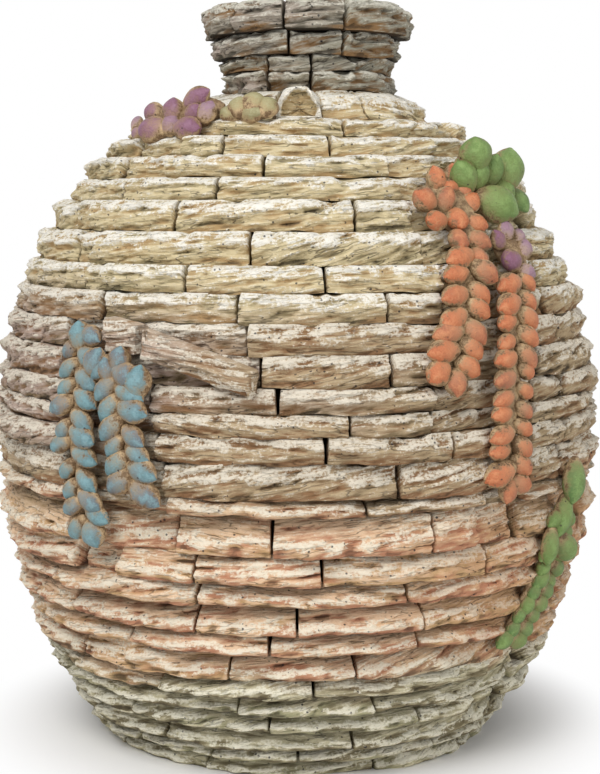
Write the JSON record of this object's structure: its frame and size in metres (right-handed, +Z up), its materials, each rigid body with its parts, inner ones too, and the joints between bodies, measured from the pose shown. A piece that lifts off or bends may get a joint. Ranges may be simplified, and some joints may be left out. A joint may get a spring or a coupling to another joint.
{
  "type": "garden vase",
  "caption": "Squat egg-shaped garden vase of stacked split stones round a hollow shell, with a short flared neck, a slipped slab and sprays of succulent leaves.",
  "frame": {"origin": "middle of the flat underside, on the axis of the shell", "axes": "+Z up along the axis of the shell; -Y is the front with the sprays to its left and right; +X to the right"},
  "size_m": [0.3352, 0.3329, 0.397],
  "materials": {
    "cast_shell": "matt cast shell",
    "sand_stone": "split face with pale dry-brushed edges",
    "salmon_stone": "split face with pale dry-brushed edges",
    "moss_stone": "split face with pale dry-brushed edges",
    "grey_stone": "split face with pale dry-brushed edges",
    "blue_leaf": "satin painted leaf",
    "orange_leaf": "satin painted leaf",
    "green_leaf": "satin painted leaf",
    "purple_leaf": "satin painted leaf",
    "olive_leaf": "satin painted boss"
  },
  "bodies": {
    "root": {"arched_stone": "sand_stone", "blue_spray_inner": "blue_leaf", "blue_spray_outer": "blue_leaf", "broken_shard": "sand_stone", "cove_stones": "sand_stone", "green_rosette": "green_leaf", "green_trailer": "green_leaf", "inner_shell": "cast_shell", "neck_course_1": "grey_stone", "neck_course_2": "grey_stone", "neck_course_3": "grey_stone", "olive_boss": "olive_leaf", "orange_crown": "orange_leaf", "orange_spray_inner": "orange_leaf", "orange_spray_outer": "orange_leaf", "purple_buds": "purple_leaf", "purple_rosette": "purple_leaf", "rim_stones": "grey_stone", "slipped_slab": "sand_stone", "stone_course_01": "moss_stone", "stone_course_02": "moss_stone", "stone_course_03": "moss_stone", "stone_course_04": "moss_stone", "stone_course_05": "moss_stone", "stone_course_06": "moss_stone", "stone_course_07": "salmon_stone", "stone_course_08": "salmon_stone", "stone_course_09": "salmon_stone", "stone_course_10": "salmon_stone", "stone_course_11": "salmon_stone", "stone_course_12": "salmon_stone", "stone_course_13": "sand_stone", "stone_course_14": "sand_stone", "stone_course_15": "sand_stone", "stone_course_16": "sand_stone", "stone_course_17": "sand_stone", "stone_course_18": "sand_stone", "stone_course_19": "sand_stone", "stone_course_20": "sand_stone", "stone_course_21": "sand_stone", "stone_course_22": "sand_stone", "stone_course_23": "sand_stone", "stone_course_24": "sand_stone", "stone_course_25": "sand_stone", "stone_course_26": "sand_stone", "stone_course_27": "sand_stone"}
  },
  "joints": []
}
